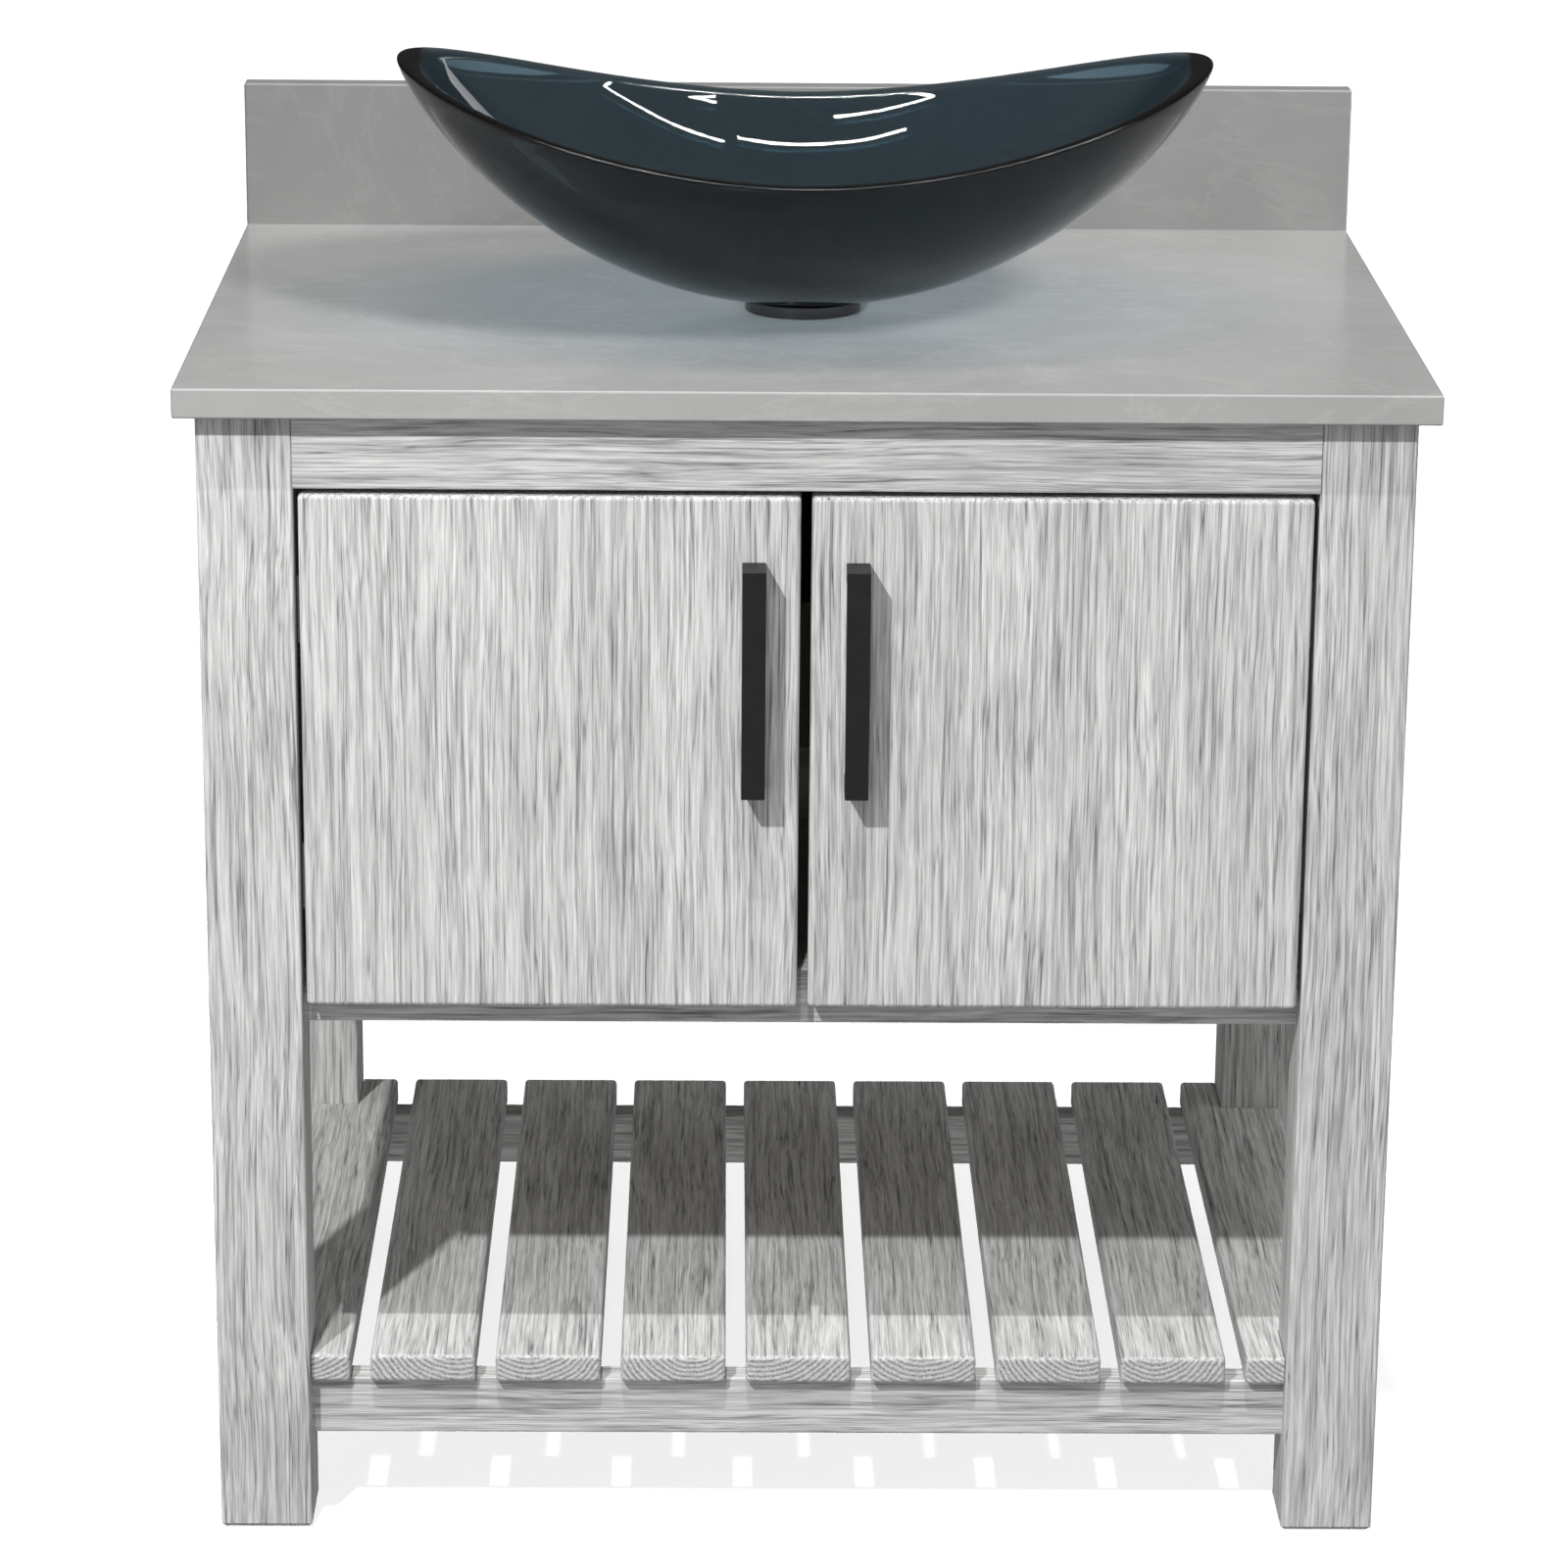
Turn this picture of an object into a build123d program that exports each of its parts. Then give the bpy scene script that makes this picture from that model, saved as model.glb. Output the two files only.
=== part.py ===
from build123d import *
import math
import os

# Vessel sink on a vanity. Millimetres; +X to the right, +Y to the back, +Z up.
# The origin is on the floor, under the middle of the whole outline in plan. The doors face -Y.

# ---- driving dimensions -------------------------------------------------------------------------------

# countertop and backsplash
counter_side_overhang = 12.7
counter_back_overhang = 5.0
counter_thickness = 19.0
counter_top_z = 775.0
counter_arris = 1.5
backsplash_height = 101.0
backsplash_thickness = 19.0
faucet_hole_radius = 17.5
faucet_from_back = 67.0

# cabinet
cabinet_width = 762.0
cabinet_depth = 538.0
front_setback = 16.0
post_width = 60.0
post_depth = 56.0
post_edge_round = 2.0
post_foot_chamfer = 3.0
glide_radius = 12.0
glide_thickness = 4.0
glide_proud = 1.0
rail_thickness = 20.0
top_rail_height = 48.0
bottom_rail_height = 37.0
bottom_rail_z = 349.0
rail_edge_round = 1.5
side_panel_thickness = 18.0
side_panel_recess = 6.0
back_panel_thickness = 12.0
back_rail_height = 70.0
back_rail_thickness = 20.0
wall_screw_radius = 3.0
wall_screw_spacing = 406.4
plumbing_cutout_width = 320.0
plumbing_cutout_height = 155.0
plumbing_cutout_z = 522.0
plumbing_cutout_round = 20.0
floor_thickness = 16.0
corner_block_leg = 34.0
corner_block_height = 24.0

# shelf
slat_count = 9
slat_width = 69.0
slat_side_inset = 16.9
slat_thickness = 19.0
slat_top_z = 121.0
slat_edge_round = 3.0
slat_front_inset = 8.0
slat_post_gap = 0.5
stretcher_thickness = 21.0
stretcher_height = 39.0
front_stretcher_inset = 16.0
rear_stretcher_inset = 4.0
side_stretcher_inset = 20.0
shelf_screw_radius = 2.0
shelf_screw_head_radius = 4.0
shelf_screw_head_height = 2.5
shelf_screw_length = 45.0
shelf_screw_counterbore = 6.0
shelf_screw_head_clearance = 0.5
shelf_screw_post_gap = 2.0

# doors
door_bottom_z = 367.5
door_top_gap = 3.5
door_outer_gap = 3.0
door_centre_gap = 7.0
door_thickness = 20.0
door_proud = 1.0
door_front_round = 3.0
door_back_round = 2.0
door_rail_gap = 3.0
bumper_radius = 4.0
bumper_clearance = 0.4
bumper_from_edge = 22.0

# pulls
pull_width = 15.0
pull_length = 148.5
pull_projection = 24.0
pull_bar_depth = 8.0
pull_leg_height = 11.0
pull_round = 0.8
pull_from_edge = 29.2
pull_top_drop = 42.0
pull_screw_radius = 2.0
pull_screw_head_radius = 4.0
pull_screw_head_height = 2.4
pull_screw_bite = 12.0

# concealed hinges
hinge_from_door_end = 80.0
hinge_pin_from_post = 12.0
hinge_pin_from_door_front = 9.0
hinge_pin_radius = 1.5
hinge_running_clearance = 0.05
hinge_knuckle_radius = 3.0
hinge_cup_from_pin = 12.0
hinge_cup_radius = 17.5
hinge_cup_depth = 15.5
hinge_cup_wall = 0.8
hinge_cup_fit = 0.1
hinge_wing_width = 16.0
hinge_wing_half_height = 26.0
hinge_wing_thickness = 1.0
hinge_arm_thickness = 3.0
hinge_arm_half_height = 5.0
hinge_arm_reach = 16.5
hinge_arm_step = 18.5
hinge_arm_body_depth = 6.0
hinge_arm_body_length = 24.0
hinge_plate_thickness = 2.0
hinge_plate_length = 31.0
hinge_plate_half_height = 22.0
hinge_plate_start = 14.5
hinge_screw_radius = 2.0
hinge_screw_head_radius = 3.5
hinge_screw_head_height = 2.0
hinge_screw_length = 16.0
hinge_screw_half_spacing = 16.0

# glass bowl
bowl_from_front = 255.5
bowl_length = 535.0
bowl_width = 377.0
bowl_tip_height = 168.0
bowl_middle_height = 114.5
bowl_rim_power = 1.85
bowl_foot_radius = 30.0
bowl_glass = 12.0
bowl_side_power = 1.3
bowl_length_root = 1.85
bowl_width_root = 1.5
bowl_rings = 10
bisection_steps = 50
rim_points_per_side = 6
rim_headroom = 48.0
cut_past = 1.0

# mounting ring and drain
ring_radius = 38.7
ring_height = 8.0
ring_round = 0.8
groove_inner_radius = 26.0
groove_outer_radius = 29.5
groove_depth = 2.0
drain_hole_radius = 23.0
drain_body_radius = 22.25
drain_bore_radius = 20.5
drain_flange_radius = 31.0
drain_flange_thickness = 2.5
drain_flange_round = 1.25
flange_gasket_radius = 29.5
flange_gasket_thickness = 1.5
drain_washer_radius = 31.0
drain_washer_thickness = 3.0
drain_nut_flats = 54.0
drain_nut_height = 9.0
drain_thread_gap = 0.05
drain_body_below_nut = 19.0
drain_floor_thickness = 6.0
tailpiece_radius = 15.875
tailpiece_wall = 1.25
tailpiece_length = 160.0
tailpiece_entry = 12.0
tailpiece_collar = 2.0
crossbar_width = 5.0
crossbar_height = 4.0
crossbar_below_top = 34.0
crossbar_hub_radius = 7.0
crossbar_root = 0.5

# pop-up stopper, raised
popup_travel = 8.5
popup_seat_clearance = 0.3
cap_radius = 32.5
cap_edge_height = 2.2
cap_crown = 2.8
cap_edge_round = 0.8
seal_inner_radius = 21.0
seal_outer_radius = 26.0
seal_thickness = 1.2
plug_clearance = 0.5
plug_wall = 1.5
plug_height = 16.0
plug_top_thickness = 2.0
plug_window_width = 14.0
plug_window_height = 8.0
plug_window_drop = 4.0
stem_radius = 2.5
stem_length = 30.0
stem_clearance = 0.05
cartridge_radius = 6.0
cartridge_height = 21.0
cartridge_floor = 3.0

# ---- places worked out from them ----------------------------------------------------------------------

counter_width = cabinet_width + 2 * counter_side_overhang
counter_depth = front_setback + cabinet_depth + counter_back_overhang
pull_overhang = pull_projection + door_proud - front_setback
counter_front_y = -(counter_depth - pull_overhang) / 2
counter_back_y = counter_front_y + counter_depth
counter_under_z = counter_top_z - counter_thickness
half_cabinet = cabinet_width / 2
cabinet_front_y = counter_front_y + front_setback
cabinet_back_y = cabinet_front_y + cabinet_depth
post_inner_x = half_cabinet - post_width
front_post_back_y = cabinet_front_y + post_depth
rear_post_front_y = cabinet_back_y - post_depth
bottom_rail_top_z = bottom_rail_z + bottom_rail_height
door_front_y = cabinet_front_y - door_proud
door_back_y = door_front_y + door_thickness
door_top_z = counter_under_z - top_rail_height - door_top_gap
bottom_rail_front_y = door_back_y + door_rail_gap
slat_under_z = slat_top_z - slat_thickness
slat_pitch = (cabinet_width - 2 * slat_side_inset - slat_width) / (slat_count - 1)
front_stretcher_y = cabinet_front_y + front_stretcher_inset
rear_stretcher_y = cabinet_back_y - rear_stretcher_inset - stretcher_thickness
bowl_centre_y = counter_front_y + bowl_from_front
bowl_foot_z = counter_top_z + ring_height
bowl_tip_z = counter_top_z + bowl_tip_height
bowl_middle_z = counter_top_z + bowl_middle_height
bowl_floor_z = bowl_foot_z + bowl_glass
flange_top_z = bowl_floor_z + flange_gasket_thickness + drain_flange_thickness
nut_top_z = counter_under_z - drain_washer_thickness
body_foot_z = nut_top_z - drain_nut_height - drain_body_below_nut
crossbar_top_z = flange_top_z - crossbar_below_top
cap_under_z = flange_top_z + popup_seat_clearance + popup_travel + seal_thickness
pull_top_z = door_top_z - pull_top_drop


# ---- helpers ------------------------------------------------------------------------------------------

def block(x_span, y_span, z_span):
    """A box between a low and a high coordinate on each axis."""
    spans = [sorted(span) for span in (x_span, y_span, z_span)]
    sizes = [high - low for low, high in spans]
    middles = [(high + low) / 2 for low, high in spans]
    return Pos(*middles) * Box(*sizes)


def rod(radius, start, direction, length):
    """A cylinder from a start point along a direction."""
    plane = Plane(origin=start, z_dir=direction)
    return extrude(plane * Circle(radius), amount=length)


def disc(radius, x, y, low_z, high_z):
    """An upright cylinder between two heights."""
    return rod(radius, (x, y, low_z), (0, 0, 1), high_z - low_z)


def ring(outer_radius, inner_radius, x, y, low_z, high_z):
    """An upright tube between two heights."""
    return disc(outer_radius, x, y, low_z, high_z) - disc(inner_radius, x, y, low_z, high_z)


def save(name, *solids):
    """Write one node: a single solid, or a group of separate solids."""
    pieces = [solid for shape in solids for solid in shape.solids()]
    shape = pieces[0] if len(pieces) == 1 else Compound(pieces)
    export_step(shape, f"parts/{name}.step")


def save_both(name, *solids):
    """Write a left node and its mirror image on the right."""
    save(f"{name}_left", *solids)
    save(f"{name}_right", *[mirror(solid, about=Plane.YZ) for solid in solids])


# ---- cabinet frame ------------------------------------------------------------------------------------

def post(x_sign, front_y, screw_heights):
    """A square leg that runs from the floor to the countertop, with a recess for its glide."""
    outer_x = x_sign * half_cabinet
    inner_x = x_sign * post_inner_x
    leg = block((inner_x, outer_x), (front_y, front_y + post_depth), (glide_proud, counter_under_z))
    leg = chamfer(leg.faces().sort_by(Axis.Z)[0].edges(), post_foot_chamfer)
    leg = fillet(leg.edges().filter_by(Axis.Z), post_edge_round)
    leg -= glide(x_sign, front_y)
    for hole in screw_heights:
        leg -= rod(hinge_screw_radius, hole, (x_sign, 0, 0), hinge_screw_length)
    return leg


def glide(x_sign, front_y):
    """A plastic furniture glide in the foot of a leg."""
    x = x_sign * (half_cabinet - post_width / 2)
    y = front_y + post_depth / 2
    return disc(glide_radius, x, y, 0, glide_thickness)


def rail(x_half, front_y, thickness, low_z, high_z):
    """A straight rail between the legs, with eased long edges."""
    board = block((-x_half, x_half), (front_y, front_y + thickness), (low_z, high_z))
    return fillet(board.edges().filter_by(Axis.X), rail_edge_round)


def side_panel():
    """The left panel between the front and rear legs."""
    outer_x = -(half_cabinet - side_panel_recess)
    inner_x = outer_x + side_panel_thickness
    return block((outer_x, inner_x), (front_post_back_y, rear_post_front_y), (bottom_rail_z, counter_under_z))


def back_panel():
    """The back between the rear legs, open where the supply and waste pipes come through."""
    front_y = cabinet_back_y - back_panel_thickness
    board = block((-post_inner_x, post_inner_x), (front_y, cabinet_back_y), (bottom_rail_z, counter_under_z))
    middle_z = plumbing_cutout_z + plumbing_cutout_height / 2
    outline = Plane.XZ * RectangleRounded(plumbing_cutout_width, plumbing_cutout_height, plumbing_cutout_round)
    hole = Pos(0, cabinet_back_y, middle_z) * extrude(outline, amount=back_panel_thickness)
    board -= hole
    return board - wall_screw_holes(front_y, back_panel_thickness)


def wall_screw_holes(front_y, depth):
    """Two holes through the back for the screws that hold the vanity to the wall studs."""
    z = counter_under_z - back_rail_height / 2
    ends = (-wall_screw_spacing / 2, wall_screw_spacing / 2)
    return [rod(wall_screw_radius, (x, front_y, z), (0, 1, 0), depth) for x in ends]


def back_rail():
    """The mounting rail inside the top of the back."""
    back_y = cabinet_back_y - back_panel_thickness
    front_y = back_y - back_rail_thickness
    z_span = (counter_under_z - back_rail_height, counter_under_z)
    board = block((-post_inner_x, post_inner_x), (front_y, back_y), z_span)
    return board - wall_screw_holes(front_y, back_rail_thickness)


def cabinet_floor():
    """The bottom board, notched round the legs and level with the top of the bottom rail."""
    half_width = half_cabinet - side_panel_recess - side_panel_thickness
    z_span = (bottom_rail_top_z - floor_thickness, bottom_rail_top_z)
    rail_back_y = bottom_rail_front_y + rail_thickness
    panel_front_y = cabinet_back_y - back_panel_thickness
    middle = block((-post_inner_x, post_inner_x), (rail_back_y, panel_front_y), z_span)
    wide = block((-half_width, half_width), (front_post_back_y, rear_post_front_y), z_span)
    return middle + wide


def corner_block(x_sign, corner_y, y_sign):
    """A triangular glue block under the countertop, in the corner of a leg and a rail."""
    corner_x = x_sign * post_inner_x
    side = corner_block_leg
    outline = Polyline(
        (corner_x, corner_y),
        (corner_x - x_sign * side, corner_y),
        (corner_x, corner_y + y_sign * side),
        close=True,
    )
    face = Pos(0, 0, counter_under_z - corner_block_height) * make_face(outline)
    return extrude(face, amount=corner_block_height, dir=(0, 0, 1))


# ---- shelf --------------------------------------------------------------------------------------------

def slat(index):
    """One shelf slat; the two end slats are notched round the legs."""
    middle_x = (index - (slat_count - 1) / 2) * slat_pitch
    low_x = middle_x - slat_width / 2
    high_x = middle_x + slat_width / 2
    front_y = cabinet_front_y + slat_front_inset
    board = block((low_x, high_x), (front_y, cabinet_back_y), (slat_under_z, slat_top_z))
    board = fillet(board.edges(), slat_edge_round)
    notch_x = post_inner_x - slat_post_gap
    if high_x > notch_x or low_x < -notch_x:
        x_sign = math.copysign(1, middle_x)
        far_x = x_sign * (half_cabinet + post_width)
        z_span = (slat_under_z, slat_top_z)
        front_back_y = front_post_back_y + slat_post_gap
        rear_front_y = rear_post_front_y - slat_post_gap
        board -= block((x_sign * notch_x, far_x), (cabinet_front_y, front_back_y), z_span)
        board -= block((x_sign * notch_x, far_x), (rear_front_y, cabinet_back_y + 1), z_span)
    return board


def shelf_screw_places():
    """Screw axes: one at each end of each slat, through the front and rear stretchers."""
    limit = post_inner_x - shelf_screw_head_radius - shelf_screw_post_gap
    for index in range(slat_count):
        x = (index - (slat_count - 1) / 2) * slat_pitch
        x = max(-limit, min(limit, x))
        yield x, front_stretcher_y + stretcher_thickness / 2
        yield x, rear_stretcher_y + stretcher_thickness / 2


def shelf_screw(x, y):
    """A wood screw that holds a slat down from below."""
    head_z = slat_under_z - stretcher_height + shelf_screw_counterbore
    head = disc(shelf_screw_head_radius, x, y, head_z - shelf_screw_head_height, head_z)
    return head + disc(shelf_screw_radius, x, y, head_z, head_z + shelf_screw_length)


def cross_stretcher(front_y):
    """A stretcher under the slats, from leg to leg, with counterbored screw holes."""
    low_z = slat_under_z - stretcher_height
    board = rail(post_inner_x, front_y, stretcher_thickness, low_z, slat_under_z)
    counterbore_radius = shelf_screw_head_radius + shelf_screw_head_clearance
    for x, y in shelf_screw_places():
        if front_y < y < front_y + stretcher_thickness:
            board -= disc(counterbore_radius, x, y, low_z, low_z + shelf_screw_counterbore)
            board -= disc(shelf_screw_radius, x, y, low_z, slat_under_z)
    return board


def side_stretcher():
    """The left stretcher between the front and rear legs."""
    outer_x = -(half_cabinet - side_stretcher_inset)
    z_span = (slat_under_z - stretcher_height, slat_under_z)
    x_span = (outer_x, outer_x + stretcher_thickness)
    board = block(x_span, (front_post_back_y, rear_post_front_y), z_span)
    return fillet(board.edges().filter_by(Axis.Y), rail_edge_round)


# ---- countertop ---------------------------------------------------------------------------------------

def countertop():
    """The stone top with its drain hole and faucet hole."""
    half = counter_width / 2
    slab = block((-half, half), (counter_front_y, counter_back_y), (counter_under_z, counter_top_z))
    slab = fillet(slab.edges(), counter_arris)
    slab -= disc(drain_hole_radius, 0, bowl_centre_y, counter_under_z, counter_top_z)
    faucet_y = counter_back_y - faucet_from_back
    slab -= disc(faucet_hole_radius, 0, faucet_y, counter_under_z, counter_top_z)
    return slab


def backsplash():
    """The upstand along the back of the top."""
    half = counter_width / 2
    front_y = counter_back_y - backsplash_thickness
    board = block((-half, half), (front_y, counter_back_y), (counter_top_z, counter_top_z + backsplash_height))
    upper_z = counter_top_z + counter_arris
    return fillet(board.edges().filter_by(lambda edge: edge.center().Z > upper_z), counter_arris)


# ---- glass bowl ---------------------------------------------------------------------------------------

def side_share(height_share, root):
    """How far the side has swung out from the foot, as a share, at a share of the full height."""
    return (1 - (1 - height_share) ** bowl_side_power) ** (1 / root)


def meridian(half_span, root, height_share):
    """A point (radius, z) on the outer side, in the vertical plane of one axis of the oval."""
    radius = bowl_foot_radius + (half_span - bowl_foot_radius) * side_share(height_share, root)
    return radius, bowl_foot_z + height_share * (bowl_tip_z - bowl_foot_z)


def wall_point(half_span, root, height_share, depth):
    """The point a given depth inside the outer side, measured square to it."""
    step = 1e-4
    below = meridian(half_span, root, max(0, height_share - step))
    above = meridian(half_span, root, min(1, height_share + step))
    run = above[0] - below[0]
    rise = above[1] - below[1]
    length = math.hypot(run, rise)
    radius, z = meridian(half_span, root, height_share)
    return radius - depth * rise / length, z + depth * run / length


def half_axis(half_span, root, z, depth):
    """Half the oval's length or width at height z, on the surface a given depth inside the glass."""
    low, high = 0.0, 1.0
    for _ in range(bisection_steps):
        middle = (low + high) / 2
        if wall_point(half_span, root, middle, depth)[1] < z:
            low = middle
        else:
            high = middle
    return wall_point(half_span, root, high, depth)[0]


def bowl_spans():
    """Half the length, and half the width that the sides would reach at the height of the tips."""
    middle_share = (bowl_middle_z - bowl_foot_z) / (bowl_tip_z - bowl_foot_z)
    reached = side_share(middle_share, bowl_width_root)
    half_width = bowl_foot_radius + (bowl_width / 2 - bowl_foot_radius) / reached
    return bowl_length / 2, half_width


def bowl_form(depth):
    """The closed oval form of the outside, or of the surface a given depth inside the glass."""
    half_length, half_width = bowl_spans()
    foot_z = bowl_foot_z + depth
    sections = []
    for index in range(bowl_rings + 1):
        share = (index / bowl_rings) ** 2
        z = foot_z + share * (bowl_tip_z - foot_z)
        long_axis = half_axis(half_length, bowl_length_root, z, depth)
        short_axis = half_axis(half_width, bowl_width_root, z, depth)
        sections.append(Pos(0, bowl_centre_y, z) * Ellipse(long_axis, short_axis))
    top = Pos(0, bowl_centre_y, bowl_tip_z + bowl_glass) * Ellipse(long_axis, short_axis)
    return loft(sections + [top])


def above_rim():
    """Everything over the rim, which rises from the middle to the two tips."""
    reach = bowl_length / 2
    points = []
    for index in range(-rim_points_per_side - 1, rim_points_per_side + 2):
        x = reach * index / rim_points_per_side
        rise = (bowl_tip_height - bowl_middle_height) * abs(x / reach) ** bowl_rim_power
        points.append((x, bowl_middle_z + rise))
    top_z = bowl_tip_z + rim_headroom
    curve = Spline(*points)
    edge = Polyline(points[-1], (points[-1][0], top_z), (points[0][0], top_z), points[0])
    face = Plane.XZ * make_face(curve + edge)
    return extrude(face, amount=bowl_width, both=True)


def glass_bowl():
    """The boat-shaped glass bowl with its drain hole."""
    bowl = bowl_form(0) - bowl_form(bowl_glass)
    bowl -= above_rim()
    return bowl - disc(drain_hole_radius, 0, bowl_centre_y, bowl_foot_z - cut_past, bowl_floor_z + cut_past)


# ---- mounting ring and drain --------------------------------------------------------------------------

def ring_gasket(low_z):
    """A square gasket that fills a groove of the mounting ring."""
    return ring(groove_outer_radius, groove_inner_radius, 0, bowl_centre_y, low_z, low_z + groove_depth)


def mounting_ring():
    """The metal ring that the bowl stands on, with a gasket groove above and below."""
    body = disc(ring_radius, 0, bowl_centre_y, counter_top_z, bowl_foot_z)
    body = fillet(body.edges(), ring_round)
    body -= disc(drain_hole_radius, 0, bowl_centre_y, counter_top_z, bowl_foot_z)
    return body - ring_gasket(counter_top_z) - ring_gasket(bowl_foot_z - groove_depth)


def drain_body():
    """The flanged drain tube with its crossbar and the socket for the tailpiece."""
    y = bowl_centre_y
    foot = body_foot_z
    body = disc(drain_body_radius, 0, y, foot, flange_top_z - drain_flange_thickness)
    body += disc(drain_flange_radius, 0, y, flange_top_z - drain_flange_thickness, flange_top_z)
    rim = body.edges().filter_by(GeomType.CIRCLE).sort_by(Axis.Z)[-1]
    body = fillet(rim, drain_flange_round)
    body -= disc(drain_bore_radius, 0, y, foot + drain_floor_thickness, flange_top_z)
    body -= disc(tailpiece_radius, 0, y, foot, foot + drain_floor_thickness)
    bar_half = crossbar_width / 2
    reach = drain_bore_radius + crossbar_root
    bar_z = (crossbar_top_z - crossbar_height, crossbar_top_z)
    body += block((-reach, reach), (y - bar_half, y + bar_half), bar_z)
    body += block((-bar_half, bar_half), (y - reach, y + reach), bar_z)
    return body + disc(crossbar_hub_radius, 0, y, *bar_z)


def drain_nut():
    """The hexagonal nut that clamps the bowl and ring to the countertop."""
    low = nut_top_z - drain_nut_height
    hexagon = RegularPolygon(drain_nut_flats / 2, 6, major_radius=False)
    nut = extrude(Pos(0, bowl_centre_y, low) * hexagon, amount=drain_nut_height)
    bore = drain_body_radius + drain_thread_gap
    return nut - disc(bore, 0, bowl_centre_y, low, nut_top_z)


def tailpiece():
    """The thin waste tube that drops from the drain body."""
    top = body_foot_z + tailpiece_entry
    inner = tailpiece_radius - tailpiece_wall
    collar_low = body_foot_z + drain_floor_thickness
    collar_radius = tailpiece_radius + tailpiece_collar
    tube = disc(tailpiece_radius, 0, bowl_centre_y, top - tailpiece_length, top)
    tube += disc(collar_radius, 0, bowl_centre_y, collar_low, collar_low + tailpiece_collar)
    return tube - disc(inner, 0, bowl_centre_y, top - tailpiece_length, top)


def cartridge():
    """The push-to-close cartridge that stands on the crossbar and guides the stopper's stem."""
    high = crossbar_top_z + cartridge_height
    body = disc(cartridge_radius, 0, bowl_centre_y, crossbar_top_z, high)
    return body - disc(stem_radius + stem_clearance, 0, bowl_centre_y, crossbar_top_z + cartridge_floor, high)


# ---- pop-up stopper -----------------------------------------------------------------------------------

def popup_cap():
    """The domed cap, drawn raised."""
    low = cap_under_z
    edge_z = low + cap_edge_height
    crown_z = edge_z + cap_crown
    outline = Polyline((0, crown_z), (0, low), (cap_radius, low), (cap_radius, edge_z))
    dome = TangentArc((0, crown_z), (cap_radius, edge_z), tangent=(1, 0))
    face = Plane.XZ * make_face(outline + dome)
    cap = revolve(face, Axis.Z)
    cap = fillet(cap.edges().sort_by(lambda edge: edge.length)[-2:], cap_edge_round)
    return Pos(0, bowl_centre_y, 0) * cap


def popup_plug():
    """The windowed skirt under the cap, with the stem that slides in the cartridge."""
    y = bowl_centre_y
    high = cap_under_z
    outer = drain_bore_radius - plug_clearance
    plug = disc(outer, 0, y, high - plug_height, high)
    plug -= disc(outer - plug_wall, 0, y, high - plug_height, high - plug_top_thickness)
    window_high = high - plug_window_drop
    window_z = (window_high - plug_window_height, window_high)
    half = plug_window_width / 2
    plug -= block((-cap_radius, cap_radius), (y - half, y + half), window_z)
    plug -= block((-half, half), (y - cap_radius, y + cap_radius), window_z)
    return plug + disc(stem_radius, 0, y, high - stem_length, high - plug_top_thickness)


def popup_seal():
    """The soft ring under the cap."""
    low = cap_under_z - seal_thickness
    return ring(seal_outer_radius, seal_inner_radius, 0, bowl_centre_y, low, cap_under_z)


# ---- hinges, all drawn on the left side ---------------------------------------------------------------

hinge_x = -post_inner_x + hinge_pin_from_post
hinge_y = door_front_y + hinge_pin_from_door_front
hinge_heights = (door_bottom_z + hinge_from_door_end, door_top_z - hinge_from_door_end)


def hinge_block(x_span, y_span, half_height, z):
    """A block whose plan is measured from the hinge pin."""
    x_place = [hinge_x + x for x in x_span]
    y_place = [hinge_y + y for y in y_span]
    return block(x_place, y_place, (z - half_height, z + half_height))


def hinge_cup_form(radius, z):
    """The round form of a cup, or of its bore in the door, from the door's back face inwards."""
    depth = hinge_cup_depth + (radius - hinge_cup_radius)
    return rod(radius, (hinge_x + hinge_cup_from_pin, door_back_y, z), (0, -1, 0), depth)


def hinge_pin(z):
    """The steel pin across the cup, riveted flush with the cup's outside."""
    start = (hinge_x, hinge_y, z - hinge_cup_radius)
    pin = rod(hinge_pin_radius, start, (0, 0, 1), 2 * hinge_cup_radius)
    return pin & hinge_cup_form(hinge_cup_radius, z)


def hinge_cup(z):
    """The pressed cup with two wings on the back of the door."""
    cup = hinge_cup_form(hinge_cup_radius, z)
    middle_x = hinge_cup_from_pin
    door_back = door_back_y - hinge_y
    wing_x = (middle_x - hinge_wing_width / 2, middle_x + hinge_wing_width / 2)
    cup += hinge_block(wing_x, (door_back, door_back + hinge_wing_thickness), hinge_wing_half_height, z)
    inner = hinge_cup_radius - hinge_cup_wall
    start = (hinge_x + middle_x, door_back_y + hinge_wing_thickness, z)
    cup -= rod(inner, start, (0, -1, 0), hinge_cup_depth + hinge_wing_thickness - hinge_cup_wall)
    return cup - hinge_pin(z)


def hinge_arm(z):
    """The cranked arm from the pin, out of the cup and round to the mounting plate."""
    half = hinge_arm_thickness / 2
    height = hinge_arm_half_height
    inside_x = hinge_arm_reach - hinge_arm_thickness
    inside_y = hinge_arm_step - hinge_arm_thickness
    plate_x = hinge_plate_thickness - hinge_pin_from_post
    body_x = plate_x + hinge_arm_body_depth
    knuckle = disc(hinge_knuckle_radius, hinge_x, hinge_y, z - height, z + height)
    arm = knuckle + hinge_block((0, hinge_arm_reach), (-half, half), height, z)
    arm += hinge_block((inside_x, hinge_arm_reach), (-half, hinge_arm_step), height, z)
    arm += hinge_block((plate_x, hinge_arm_reach), (inside_y, hinge_arm_step), height, z)
    arm += hinge_block((plate_x, body_x), (inside_y, inside_y + hinge_arm_body_length), height, z)
    bore = hinge_pin_radius + hinge_running_clearance
    return arm - disc(bore, hinge_x, hinge_y, z - height, z + height)


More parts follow.
